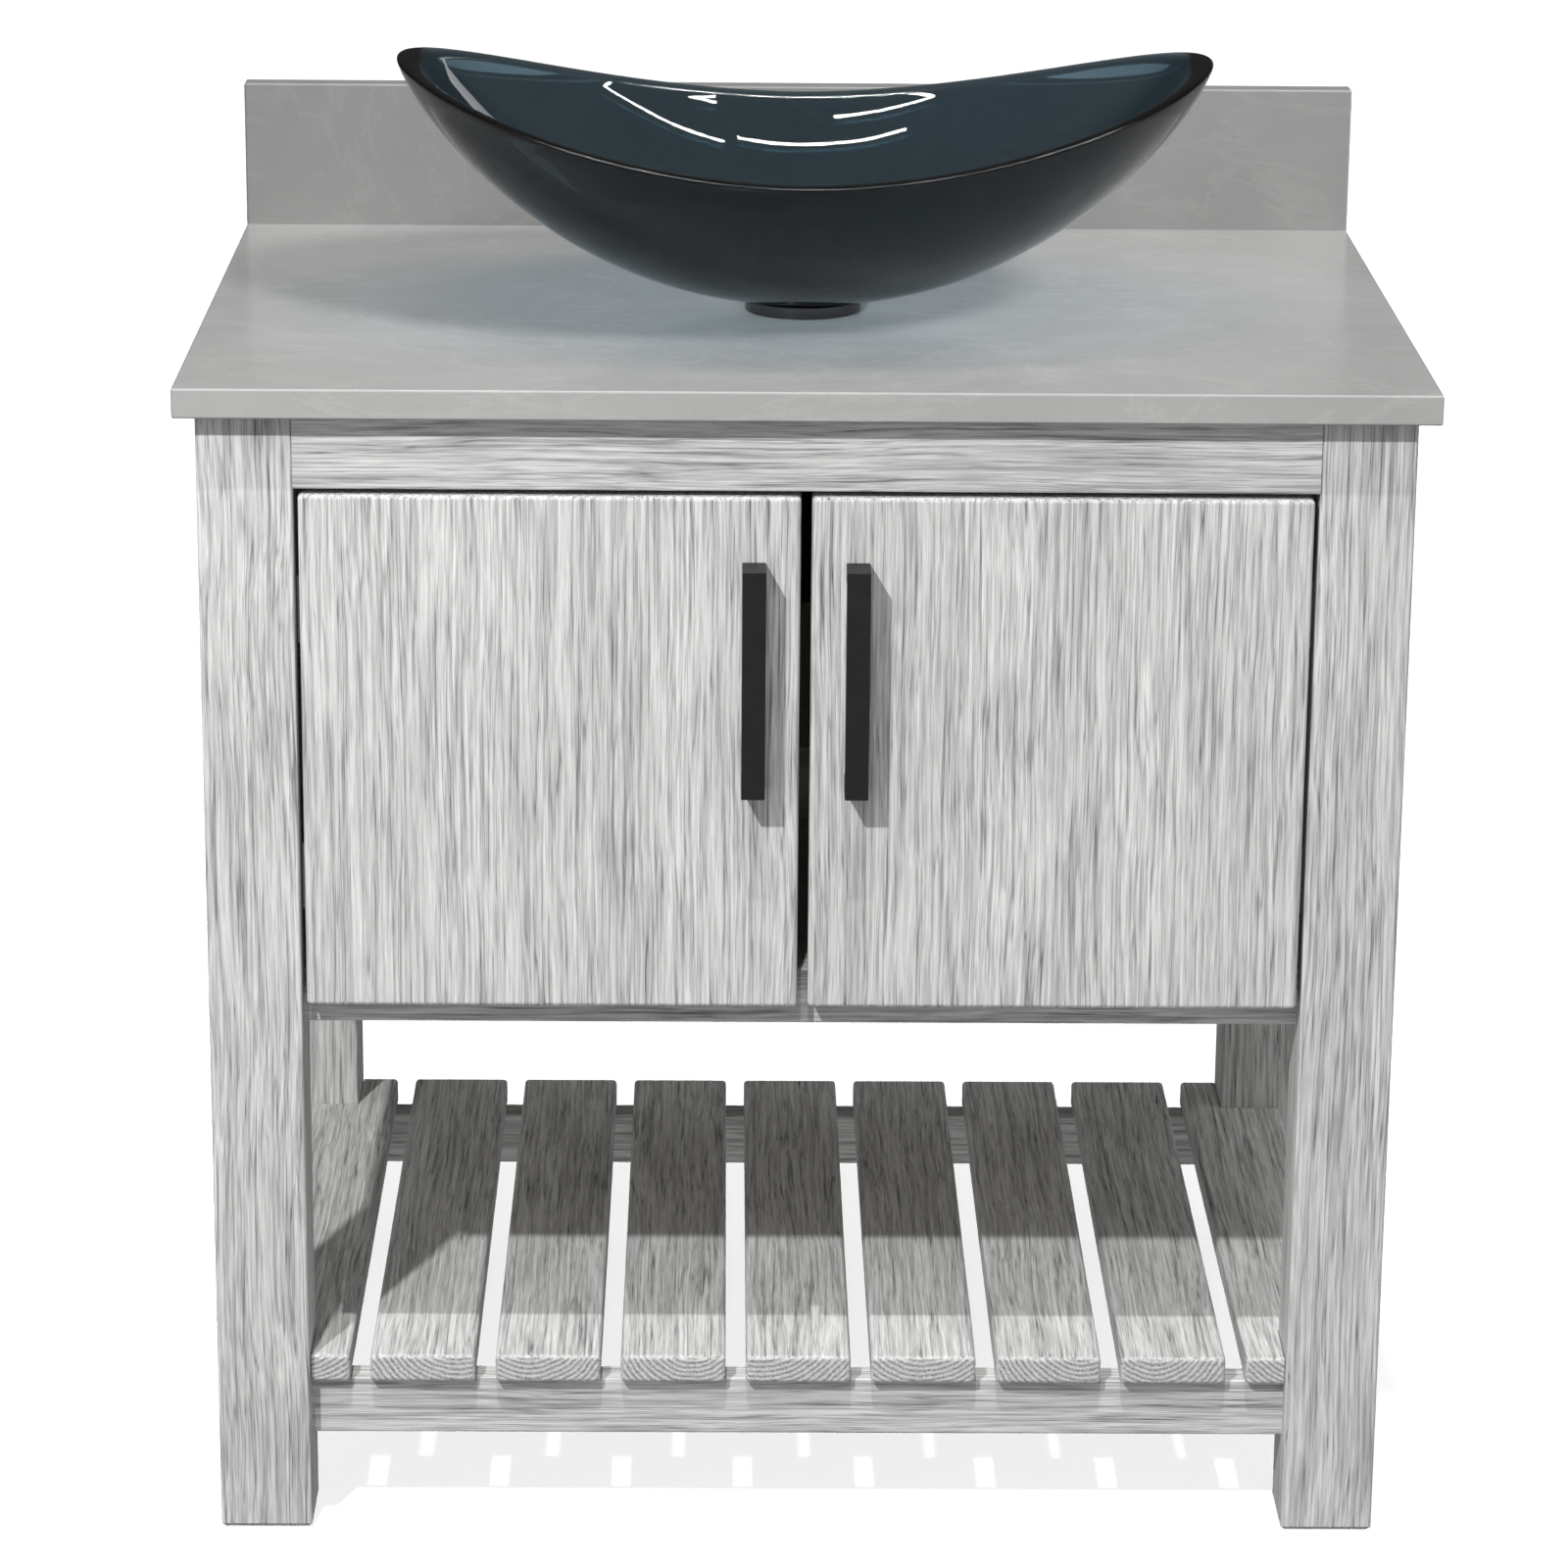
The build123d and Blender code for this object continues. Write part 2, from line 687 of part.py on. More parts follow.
def hinge_plate(z):
    """The mounting plate on the inner face of the front leg."""
    x_span = (-hinge_pin_from_post, hinge_plate_thickness - hinge_pin_from_post)
    y_span = (hinge_plate_start, hinge_plate_start + hinge_plate_length)
    plate = hinge_block(x_span, y_span, hinge_plate_half_height, z)
    for point in hinge_screw_points(z):
        plate -= rod(hinge_screw_radius, point, (1, 0, 0), hinge_plate_thickness)
    return plate


def hinge_screw_points(z):
    """Where the two screws of a mounting plate enter the left front leg."""
    y = hinge_y + hinge_plate_start + hinge_plate_length / 2
    for offset in (-hinge_screw_half_spacing, hinge_screw_half_spacing):
        yield (-post_inner_x, y, z + offset)


def hinge_screw(point):
    """A short pan-head screw through the plate into the leg."""
    x, y, z = point
    head_x = x + hinge_plate_thickness
    shank = rod(hinge_screw_radius, (head_x, y, z), (-1, 0, 0), hinge_plate_thickness + hinge_screw_length)
    return shank + rod(hinge_screw_head_radius, (head_x, y, z), (1, 0, 0), hinge_screw_head_height)


# ---- doors, all drawn on the left side ----------------------------------------------------------------

door_outer_x = -(post_inner_x - door_outer_gap)
door_inner_x = -door_centre_gap / 2
pull_x = door_inner_x - pull_from_edge
pull_screw_heights = (pull_top_z - pull_leg_height / 2, pull_top_z - pull_length + pull_leg_height / 2)


def door():
    """The slab door, bored for its hinge cups and its pull."""
    slab = block((door_outer_x, door_inner_x), (door_front_y, door_back_y), (door_bottom_z, door_top_z))
    slab = fillet(slab.edges().filter_by(Axis.Y), door_front_round)
    slab = fillet(slab.faces().sort_by(Axis.Y)[0].edges(), door_front_round)
    slab = fillet(slab.faces().sort_by(Axis.Y)[-1].edges(), door_back_round)
    for z in hinge_heights:
        slab -= hinge_cup_form(hinge_cup_radius + hinge_cup_fit, z)
    for z in pull_screw_heights:
        slab -= rod(pull_screw_radius, (pull_x, door_back_y, z), (0, -1, 0), door_thickness)
    return slab


def pull():
    """The square bar pull: a flat bar on two legs at its very ends."""
    half = pull_width / 2
    x_span = (pull_x - half, pull_x + half)
    front_y = door_front_y - pull_projection
    bar_back_y = front_y + pull_bar_depth
    low_z = pull_top_z - pull_length
    bar = block(x_span, (front_y, door_front_y), (low_z, pull_top_z))
    bar -= block(x_span, (bar_back_y, door_front_y), (low_z + pull_leg_height, pull_top_z - pull_leg_height))
    bar = fillet(bar.edges().filter_by(lambda edge: edge.center().Y < door_front_y - pull_round), pull_round)
    for z in pull_screw_heights:
        bar -= rod(pull_screw_radius, (pull_x, door_front_y, z), (0, -1, 0), pull_screw_bite)
    return bar


def pull_screw(z):
    """A machine screw from the back of the door into a leg of the pull."""
    start = (pull_x, door_back_y, z)
    shank = rod(pull_screw_radius, start, (0, -1, 0), door_thickness + pull_screw_bite)
    return shank + rod(pull_screw_head_radius, start, (0, 1, 0), pull_screw_head_height)


def bumper():
    """The soft stop on the back of the door, over the bottom rail."""
    x = door_inner_x - bumper_from_edge
    z = (door_bottom_z + bottom_rail_top_z) / 2
    return rod(bumper_radius, (x, door_back_y, z), (0, 1, 0), door_rail_gap - bumper_clearance)


# ---- build --------------------------------------------------------------------------------------------

def build_frame():
    front_holes = [point for z in hinge_heights for point in hinge_screw_points(z)]
    mirrored_holes = [(-x, y, z) for x, y, z in front_holes]
    save("post_front_left", post(-1, cabinet_front_y, front_holes))
    save("post_front_right", post(1, cabinet_front_y, mirrored_holes))
    save("post_rear_left", post(-1, rear_post_front_y, []))
    save("post_rear_right", post(1, rear_post_front_y, []))
    save("glides", *[glide(sign, y) for sign in (-1, 1) for y in (cabinet_front_y, rear_post_front_y)])
    top_rail_z = counter_under_z - top_rail_height
    save("top_front_rail", rail(post_inner_x, cabinet_front_y, rail_thickness, top_rail_z, counter_under_z))
    save("bottom_front_rail",
         rail(post_inner_x, bottom_rail_front_y, rail_thickness, bottom_rail_z, bottom_rail_top_z))
    save_both("side_panel", side_panel())
    save("back_panel", back_panel())
    save("back_rail", back_rail())
    save("cabinet_floor", cabinet_floor())
    rail_back = cabinet_front_y + rail_thickness
    back_rail_front = cabinet_back_y - back_panel_thickness - back_rail_thickness
    corners = ((rail_back, 1), (back_rail_front, -1))
    save("corner_blocks", *[corner_block(sign, y, turn) for sign in (-1, 1) for y, turn in corners])


def build_shelf():
    save("stretcher_front", cross_stretcher(front_stretcher_y))
    save("stretcher_rear", cross_stretcher(rear_stretcher_y))
    save_both("stretcher_side", side_stretcher())
    screws = [shelf_screw(x, y) for x, y in shelf_screw_places()]
    for index in range(slat_count):
        board = slat(index)
        for screw in screws:
            board -= screw
        save(f"shelf_slat_{index + 1}", board)
    save("shelf_screws", *screws)


def build_top():
    save("countertop", countertop())
    save("backsplash", backsplash())
    save("glass_bowl", glass_bowl())


def build_drain():
    y = bowl_centre_y
    gasket_top_z = bowl_floor_z + flange_gasket_thickness
    save("mounting_ring", mounting_ring())
    save("ring_gaskets", ring_gasket(counter_top_z), ring_gasket(bowl_foot_z - groove_depth))
    save("drain_body", drain_body())
    save("flange_gasket", ring(flange_gasket_radius, drain_hole_radius, 0, y, bowl_floor_z, gasket_top_z))
    save("drain_washer", ring(drain_washer_radius, drain_hole_radius, 0, y, nut_top_z, counter_under_z))
    save("drain_nut", drain_nut())
    save("tailpiece", tailpiece())
    save("popup_cartridge", cartridge())
    save("popup_cap", popup_cap())
    save("popup_plug", popup_plug())
    save("popup_seal", popup_seal())


def build_doors():
    save_both("hinge_plates", *[hinge_plate(z) for z in hinge_heights])
    save_both("hinge_arms", *[hinge_arm(z) for z in hinge_heights])
    save_both("hinge_screws", *[hinge_screw(point) for z in hinge_heights for point in hinge_screw_points(z)])
    save_both("hinge_cups", *[hinge_cup(z) for z in hinge_heights])
    save_both("hinge_pins", *[hinge_pin(z) for z in hinge_heights])
    save_both("door", door())
    save_both("pull", pull())
    save_both("pull_screws", *[pull_screw(z) for z in pull_screw_heights])
    save_both("door_bumper", bumper())


os.makedirs("parts", exist_ok=True)
build_frame()
build_shelf()
build_top()
build_drain()
build_doors()
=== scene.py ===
import math

import bmesh
import bpy
import numpy as np
from mathutils import Matrix, Vector


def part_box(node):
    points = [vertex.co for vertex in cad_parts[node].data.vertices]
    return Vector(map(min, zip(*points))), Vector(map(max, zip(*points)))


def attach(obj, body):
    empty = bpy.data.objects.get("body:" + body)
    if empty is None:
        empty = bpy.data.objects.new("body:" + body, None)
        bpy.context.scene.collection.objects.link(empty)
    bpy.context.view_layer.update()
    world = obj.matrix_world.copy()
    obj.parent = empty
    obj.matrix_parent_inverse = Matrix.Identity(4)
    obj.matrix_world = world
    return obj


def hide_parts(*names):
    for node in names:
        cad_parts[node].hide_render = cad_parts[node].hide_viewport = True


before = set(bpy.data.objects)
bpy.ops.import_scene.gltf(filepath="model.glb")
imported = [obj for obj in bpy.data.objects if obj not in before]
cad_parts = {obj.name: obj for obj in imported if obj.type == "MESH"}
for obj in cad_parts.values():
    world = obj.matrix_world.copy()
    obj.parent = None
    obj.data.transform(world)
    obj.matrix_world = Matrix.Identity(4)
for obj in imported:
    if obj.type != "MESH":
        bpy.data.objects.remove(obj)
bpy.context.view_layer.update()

# ---- camera: metres and degrees -----------------------------------------------------------------

camera_place = (-0.0527, -3.4451, 1.4841)
camera_turn = -0.717
camera_pitch_down = 16.877
camera_roll = 0.490
camera_lens = 120.45
camera_sensor = 36.0

# ---- the bowl's form, as in the CAD model, with its rim rounded (metres) ------------------------

MILLIMETRE = 0.001

bowl_glass = 0.012
bowl_middle_height = 0.1065
bowl_rim_power = 1.85
bowl_foot_radius = 0.030
bowl_side_power = 1.3
bowl_length_root = 1.85
bowl_width_root = 1.5
bowl_hole_radius = 0.023
bowl_hole_bevel = 0.8 * MILLIMETRE
bowl_rim_round = 0.003
bowl_rim_squareness = 0.4

bowl_columns = 320
bowl_wall_rows = 56
bowl_row_crowding = 1.8
bowl_rim_turns = 20
rim_search_steps = 60
side_samples = 700
corner_reach = 0.45

ring_edge_round = 0.8 * MILLIMETRE
cap_edge_height = 2.2 * MILLIMETRE
cap_foot_bevel = 0.8 * MILLIMETRE
cap_top_ease = 0.6 * MILLIMETRE
cap_side_ease = 0.4 * MILLIMETRE
cap_crown_rings = 18

# The part of a noise that carries its visible spots.
noise_middle = (0.3, 0.7)

# ---- the washed wood: spots per metre, and how far each texture is squeezed along the grain -----

washed_light = (233, 233, 232)
washed_dark = (80, 80, 80)
inner_light = (205, 200, 190)
inner_dark = (160, 152, 138)
groove_scale = 400.0
contour_scale = 230.0
streak_squeeze = 0.020
pore_scale = 1150.0
pore_squeeze = 0.035
patch_scale = 22.0
patch_squeeze = 0.10
sway_scale = 14.0
sway_squeeze = 0.4
sway_reach = 0.008
groove_share = 0.44
pore_share = 0.28
contour_share = 0.28
groove_range = (0.33, 0.60)
pore_range = (0.28, 0.72)
contour_range = (0.004, 0.040)
patch_range = (0.25, 0.75)
patch_tones = (0.90, 1.07)
wood_roughness = (0.85, 0.62)
wood_specular = 0.30
wood_relief = 0.22 * MILLIMETRE
wood_bump = 0.8
seed_step = (0.37, 0.53, 0.71)
slat_seed = 20
inner_seed = 40
growth_ring_width = 3.4 * MILLIMETRE
growth_ring_wobble = 4.0 * MILLIMETRE
wobble_scale = 60.0
wobble_squeeze = 0.1
growth_ring_tones = (0.12, 0.55)
torn_scale = 700.0
torn_tones = (0.0, 0.42)
end_facing = (0.75, 0.95)
heart_sway_step = 0.012
heart_depth = 0.016
heart_depth_step = 0.006

# ---- the stone: spots per metre, and its tones --------------------------------------------------

cloud_scale = 7.0
cloud_range = (0.32, 0.68)
cloud_dark = (143, 143, 142)
cloud_light = (151, 151, 150)
vein_scale = 4.2
vein_stretch = (1.0, 1.7, 1.7)
vein_width = 0.022
vein_strength = 0.22
vein_light = (170, 170, 168)
speck_scale = 620.0
speck_range = (0.62, 0.80)
speck_strength = 0.30
speck_dark = (122, 122, 121)
speck_relief = 0.004 * MILLIMETRE
speck_bump = 0.5
smear_scale = 22.0
stone_roughness = (0.16, 0.24)
stone_specular = 0.5

# ---- the smoked glass ---------------------------------------------------------------------------

glass_bending = 1.3
smoke_color = (0.045, 0.235, 0.32, 1.0)
smoke_density = 193.0
rim_roughness = 0.16
ripple_scale = 24.0
ripple_relief = 0.25 * MILLIMETRE
ripple_bump = 0.35

# ---- metal, powder coat, rubber and nylon: spots per metre --------------------------------------

wear_scale = 45.0
least_roughness = 0.02
metal_bump = 0.5
peel_scale = 1500.0
peel_relief = 0.02 * MILLIMETRE
peel_bump = 0.6
coat_patch_scale = 60.0
coat_dark = (0.005, 0.005, 0.005, 1.0)
coat_light = (0.009, 0.009, 0.009, 1.0)
coat_roughness = (0.46, 0.58)
coat_specular = 0.4
moulded_scale = 1100.0
moulded_relief = 0.02 * MILLIMETRE
moulded_bump = 0.5
moulded_patch_scale = 120.0
moulded_tones = (0.85, 1.15)
moulded_roughness_spread = 0.06

# ---- the studio: metres, watts, degrees; towards points from the object to the lamp -------------

floor_reach = 30.0
floor_wash_towards = (0.0, -0.3, 1.0)
floor_wash_strength = 6.2
floor_wash_softness = 20.0
sky_level = 0.395
backdrop_level = 0.05
backdrop_towards = (0.0, 0.94, 0.34)
backdrop_edge = (0.64, 0.86)
door_middle = Vector((0.0, -0.26, 0.53))
front_key_towards = Vector((-0.56, -1.0, 1.04))
front_key_distance = 1.9
front_key_side = 0.075
front_key_power = 68
high_key_towards = (-0.15, -1.0, 3.1)
high_key_strength = 1.5
high_key_softness = 1.2
soft_key_towards = (0.85, -0.9, 1.1)
soft_key_strength = 2.95
soft_key_softness = 12.0
bowl_middle = Vector((-0.22, 0.04, 0.91))
rear_panel_offset = Vector((1.60, 2.25, 1.22))
rear_panel_size = (0.30, 1.0)
rear_panel_power = 2.4
tube_spans = ((-0.45, 0.30, -0.02), (0.36, 1.14, 0.03), (-0.76, -0.12, -0.21), (0.43, 1.20, -0.24))
tube_height = 2.6
tube_width = 0.022
tube_power = 4.6
glint_power = 40.0

stone_pieces = ("countertop", "backsplash")
bowl_pieces = ("vessel_bowl", "polished_ring", "domed_cap", "drain_body")


# ---- small helpers ------------------------------------------------------------------------------

def node_box(name):
    low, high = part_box(name)
    return Vector(low), Vector(high)


def new_object(name, verts, faces, smooth=True):
    """A mesh object with outward normals."""
    mesh = bpy.data.meshes.new(name)
    mesh.from_pydata([tuple(v) for v in verts], [], faces)
    work = bmesh.new()
    work.from_mesh(mesh)
    bmesh.ops.remove_doubles(work, verts=work.verts, dist=1e-7)
    bmesh.ops.recalc_face_normals(work, faces=work.faces)
    for face in work.faces:
        face.smooth = smooth
    work.to_mesh(mesh)
    work.free()
    piece = bpy.data.objects.new(name, mesh)
    bpy.context.scene.collection.objects.link(piece)
    return piece


def grid_faces(rows, columns, close_rows):
    """Quads between closed rings of columns; close_rows joins the last ring to the first."""
    faces = []
    last = rows if close_rows else rows - 1
    for i in range(last):
        for j in range(columns):
            a = i * columns + j
            b = i * columns + (j + 1) % columns
            c = ((i + 1) % rows) * columns + (j + 1) % columns
            d = ((i + 1) % rows) * columns + j
            faces.append((a, b, c, d))
    return faces


def lathe(name, profile, centre, segments=160, closed=True):
    """A turned piece: (radius, height) points spun round an upright axis."""
    verts = []
    for radius, height in profile:
        for k in range(segments):
            angle = 2 * math.pi * k / segments
            x = centre[0] + radius * math.cos(angle)
            y = centre[1] + radius * math.sin(angle)
            verts.append((x, y, height))
    return new_object(name, verts, grid_faces(len(profile), segments, closed))


def rounded(points, radius, steps=5):
    """A closed outline with each corner rounded by short chords."""
    outline = []
    count = len(points)
    for i in range(count):
        before = Vector(points[i - 1])
        corner = Vector(points[i])
        after = Vector(points[(i + 1) % count])
        back, ahead = before - corner, after - corner
        reach = min(radius, back.length * corner_reach, ahead.length * corner_reach)
        start = corner + back.normalized() * reach
        end = corner + ahead.normalized() * reach
        for k in range(steps + 1):
            t = k / steps
            outline.append(tuple(start * (1 - t) ** 2 + corner * 2 * t * (1 - t) + end * t ** 2))
    return outline


# ---- shader helpers -----------------------------------------------------------------------------

def linear(value):
    """One sRGB channel from 0 to 255 as a linear value."""
    value = value / 255
    if value <= 0.04045:
        return value / 12.92
    return ((value + 0.055) / 1.055) ** 2.4


def tone(red, green, blue):
    return (linear(red), linear(green), linear(blue), 1.0)


class Shader:
    """A material with one Principled shader, and short calls for the nodes that feed it."""

    def __init__(self, name):
        self.material = bpy.data.materials.new(name)
        self.material.use_nodes = True
        self.tree = self.material.node_tree
        self.tree.nodes.clear()
        self.surface = self.tree.nodes.new("ShaderNodeBsdfPrincipled")
        self.output = self.tree.nodes.new("ShaderNodeOutputMaterial")
        self.link(self.surface.outputs[0], self.output.inputs["Surface"])
        self.coordinates = self.tree.nodes.new("ShaderNodeTexCoord")

    def link(self, source, target):
        self.tree.links.new(source, target)

    def set(self, **values):
        names = {
            "color": "Base Color",
            "metal": "Metallic",
            "rough": "Roughness",
            "ior": "IOR",
            "specular": "Specular IOR Level",
            "clear": "Transmission Weight",
        }
        for key, value in values.items():
            self.surface.inputs[names[key]].default_value = value

    def place(self, scale=(1, 1, 1), shift=(0, 0, 0), source=None):
        node = self.tree.nodes.new("ShaderNodeMapping")
        node.inputs["Scale"].default_value = scale
        node.inputs["Location"].default_value = shift
        self.link(source or self.coordinates.outputs["Object"], node.inputs["Vector"])
        return node.outputs[0]

    def noise(self, vector, scale, detail=2.0, roughness=0.5, distortion=0.0):
        node = self.tree.nodes.new("ShaderNodeTexNoise")
        node.inputs["Scale"].default_value = scale
        node.inputs["Detail"].default_value = detail
        node.inputs["Roughness"].default_value = roughness
        node.inputs["Distortion"].default_value = distortion
        self.link(vector, node.inputs["Vector"])
        return node.outputs[0]

    def spread(self, value, from_low, from_high, to_low=0.0, to_high=1.0):
        node = self.tree.nodes.new("ShaderNodeMapRange")
        node.inputs["From Min"].default_value = from_low
        node.inputs["From Max"].default_value = from_high
        node.inputs["To Min"].default_value = to_low
        node.inputs["To Max"].default_value = to_high
        self.link(value, node.inputs["Value"])
        return node.outputs[0]

    def math(self, operation, first, second):
        node = self.tree.nodes.new("ShaderNodeMath")
        node.operation = operation
        for socket, value in zip(node.inputs, (first, second)):
            if isinstance(value, (int, float)):
                socket.default_value = value
            else:
                self.link(value, socket)
        return node.outputs[0]

    def vector_math(self, operation, first, second):
        node = self.tree.nodes.new("ShaderNodeVectorMath")
        node.operation = operation
        for socket, value in zip(node.inputs, (first, second)):
            if isinstance(value, tuple):
                socket.default_value = value
            else:
                self.link(value, socket)
        return node

    def blend(self, factor, first, second, kind="MIX"):
        node = self.tree.nodes.new("ShaderNodeMix")
        node.data_type = "RGBA"
        node.blend_type = kind
        sockets = (node.inputs[0], node.inputs[6], node.inputs[7])
        for socket, value in zip(sockets, (factor, first, second)):
            if isinstance(value, (int, float, tuple)):
                socket.default_value = value
            else:
                self.link(value, socket)
        return node.outputs[2]

    def tint(self, value):
        """A grey colour from a number."""
        node = self.tree.nodes.new("ShaderNodeCombineColor")
        for socket in node.inputs:
            self.link(value, socket)
        return node.outputs[0]

    def bump(self, height, distance, strength):
        node = self.tree.nodes.new("ShaderNodeBump")
        node.inputs["Strength"].default_value = strength
        node.inputs["Distance"].default_value = distance
        self.link(height, node.inputs["Height"])
        return node.outputs[0]

    def feed(self, **sources):
        names = {"color": "Base Color", "rough": "Roughness", "normal": "Normal"}
        for key, value in sources.items():
            self.link(value, self.surface.inputs[names[key]])


# ---- materials ----------------------------------------------------------------------------------

AXES = {"X": 0, "Y": 1, "Z": 2}


def across(grain, along_scale):
    """A mapping scale that squeezes a texture along the grain, so its spots become streaks."""
    scale = [1.0, 1.0, 1.0]
    scale[AXES[grain]] = along_scale
    return tuple(scale)


def washed_wood(name, grain, seed, light=washed_light, dark=washed_dark, ring_centre=None):
    """White-washed, wire-brushed wood: pale raised streaks, dark grooves, rings on the ends."""
    shader = Shader(name)
    shift = tuple(seed * step for step in seed_step)
    drifting = shader.place(scale=across(grain, sway_squeeze), shift=shift)
    drift = shader.noise(drifting, sway_scale, detail=1.0)
    sway = shader.math("MULTIPLY", shader.math("SUBTRACT", drift, 0.5), sway_reach)
    bent = shader.vector_math("ADD", shader.coordinates.outputs["Object"], sway).outputs[0]
    streaks = shader.place(scale=across(grain, streak_squeeze), shift=shift, source=bent)
    fibres = shader.place(scale=across(grain, pore_squeeze), shift=shift, source=bent)
    boards = shader.place(scale=across(grain, patch_squeeze), shift=shift, source=bent)

    grooves = shader.noise(streaks, groove_scale, detail=3.0, roughness=0.66)
    contours = shader.noise(streaks, contour_scale, detail=2.0, roughness=0.5)
    pores = shader.noise(fibres, pore_scale, detail=1.0, roughness=0.5)
    patches = shader.noise(boards, patch_scale, detail=2.0, roughness=0.55)

    ridge = shader.spread(grooves, *groove_range)
    fine = shader.spread(pores, *pore_range)
    off_line = shader.math("ABSOLUTE", shader.math("SUBTRACT", contours, 0.5), 0.0)
    beside_line = shader.spread(off_line, *contour_range)
    grain_value = shader.math("MULTIPLY", ridge, groove_share)
    for part, share in ((fine, pore_share), (beside_line, contour_share)):
        grain_value = shader.math("ADD", grain_value, shader.math("MULTIPLY", part, share))
    patch_tint = shader.tint(shader.spread(patches, *patch_range, *patch_tones))
    color = shader.blend(grain_value, tone(*dark), tone(*light))
    color = shader.blend(1.0, color, patch_tint, "MULTIPLY")
    height = grain_value

    if ring_centre is not None:
        color, height = end_rings(shader, color, height, grain, ring_centre, light, dark)

    shader.set(specular=wood_specular)
    shader.feed(
        color=color,
        rough=shader.spread(grain_value, 0.0, 1.0, *wood_roughness),
        normal=shader.bump(height, wood_relief, wood_bump),
    )
    return shader.material


def end_rings(shader, color, height, grain, centre, light, dark):
    """Growth rings on the sawn ends, round a heart outside the board."""
    keep = [1.0, 1.0, 1.0]
    keep[AXES[grain]] = 0.0
    offset = tuple(-part for part in centre)
    flat = shader.vector_math("MULTIPLY", shader.place(shift=offset), tuple(keep)).outputs[0]
    squeezed = shader.place(scale=across(grain, wobble_squeeze))
    wobble = shader.noise(squeezed, wobble_scale, detail=2.0)
    radius = shader.vector_math("LENGTH", flat, (0, 0, 0)).outputs["Value"]
    radius = shader.math("ADD", radius, shader.math("MULTIPLY", wobble, growth_ring_wobble))
    turn = shader.math("MULTIPLY", radius, 2 * math.pi / growth_ring_width)
    wave = shader.spread(shader.math("SINE", turn, 0.0), -1.0, 1.0, *growth_ring_tones)
    spot = shader.coordinates.outputs["Object"]
    torn = shader.noise(spot, torn_scale, detail=3.0, roughness=0.6)
    mixed = shader.math("ADD", wave, shader.spread(torn, *noise_middle, *torn_tones))
    end_color = shader.blend(mixed, tone(*dark), tone(*light))
    normal = shader.coordinates.outputs["Normal"]
    facing = shader.vector_math("DOT_PRODUCT", normal, axis_vector(grain)).outputs["Value"]
    is_end = shader.spread(shader.math("ABSOLUTE", facing, 0.0), *end_facing)
    color = shader.blend(is_end, color, end_color)
    height = shader.blend(is_end, height, mixed)
    return color, height


def axis_vector(grain):
    vector = [0.0, 0.0, 0.0]
    vector[AXES[grain]] = 1.0
    return tuple(vector)


def plain_board(name, grain, seed):
    """The plainer wood inside the cabinet."""
    return washed_wood(name, grain, seed, light=inner_light, dark=inner_dark)


def stone():
    """Polished warm-grey engineered stone with soft clouds, faint veins and fine specks."""
    shader = Shader("grey_stone")
    spot = shader.coordinates.outputs["Object"]
    clouds = shader.noise(spot, cloud_scale, detail=4.0, roughness=0.6, distortion=0.6)
    stretched = shader.place(scale=vein_stretch)
    veins = shader.noise(stretched, vein_scale, detail=6.0, roughness=0.62, distortion=1.6)
    specks = shader.noise(spot, speck_scale, detail=1.0)
    smears = shader.noise(spot, smear_scale, detail=2.0)
    cloudy = shader.spread(clouds, *cloud_range)
    off_vein = shader.math("ABSOLUTE", shader.math("SUBTRACT", veins, 0.5), 0.0)
    vein_line = shader.spread(off_vein, 0.0, vein_width, 1.0, 0.0)
    veined = shader.math("MULTIPLY", vein_line, vein_strength)
    specked = shader.spread(specks, *speck_range, 0.0, speck_strength)
    color = shader.blend(cloudy, tone(*cloud_dark), tone(*cloud_light))
    color = shader.blend(veined, color, tone(*vein_light))
    color = shader.blend(specked, color, tone(*speck_dark))
    shader.set(specular=stone_specular)
    shader.feed(
        color=color,
        rough=shader.spread(smears, *noise_middle, *stone_roughness),
        normal=shader.bump(specks, speck_relief, speck_bump),
    )
    return shader.material


def smoked_glass():
    """Clear at the surface; the smoke is in the thickness, so edges read darker than the walls.

    The "rim" attribute is 1 on the rounded rim, which is a little less polished than the walls.
    """
    shader = Shader("smoked_glass")
    ripple = shader.noise(shader.coordinates.outputs["Object"], ripple_scale, detail=1.0)
    shader.set(color=(1.0, 1.0, 1.0, 1.0), ior=glass_bending, clear=1.0)
    rim = shader.tree.nodes.new("ShaderNodeAttribute")
    rim.attribute_name = "rim"
    shader.feed(
        rough=shader.math("MULTIPLY", rim.outputs["Fac"], rim_roughness),
        normal=shader.bump(ripple, ripple_relief, ripple_bump),
    )
    smoke = shader.tree.nodes.new("ShaderNodeVolumeAbsorption")
    smoke.inputs["Color"].default_value = smoke_color
    smoke.inputs["Density"].default_value = smoke_density
    shader.link(smoke.outputs[0], shader.output.inputs["Volume"])
    return shader.material


def metal(name, color, rough, grit=900.0, depth=0.006 * MILLIMETRE, spread=0.06):
    """Metal with a fine directionless grain in its gloss."""
    shader = Shader(name)
    spot = shader.coordinates.outputs["Object"]
    fine = shader.noise(spot, grit, detail=2.0)
    worn = shader.noise(spot, wear_scale, detail=3.0)
    smoothest = max(least_roughness, rough - spread)
    shader.set(color=color, metal=1.0)
    shader.feed(
        rough=shader.spread(worn, *noise_middle, smoothest, rough + spread),
        normal=shader.bump(fine, depth, metal_bump),
    )
    return shader.material


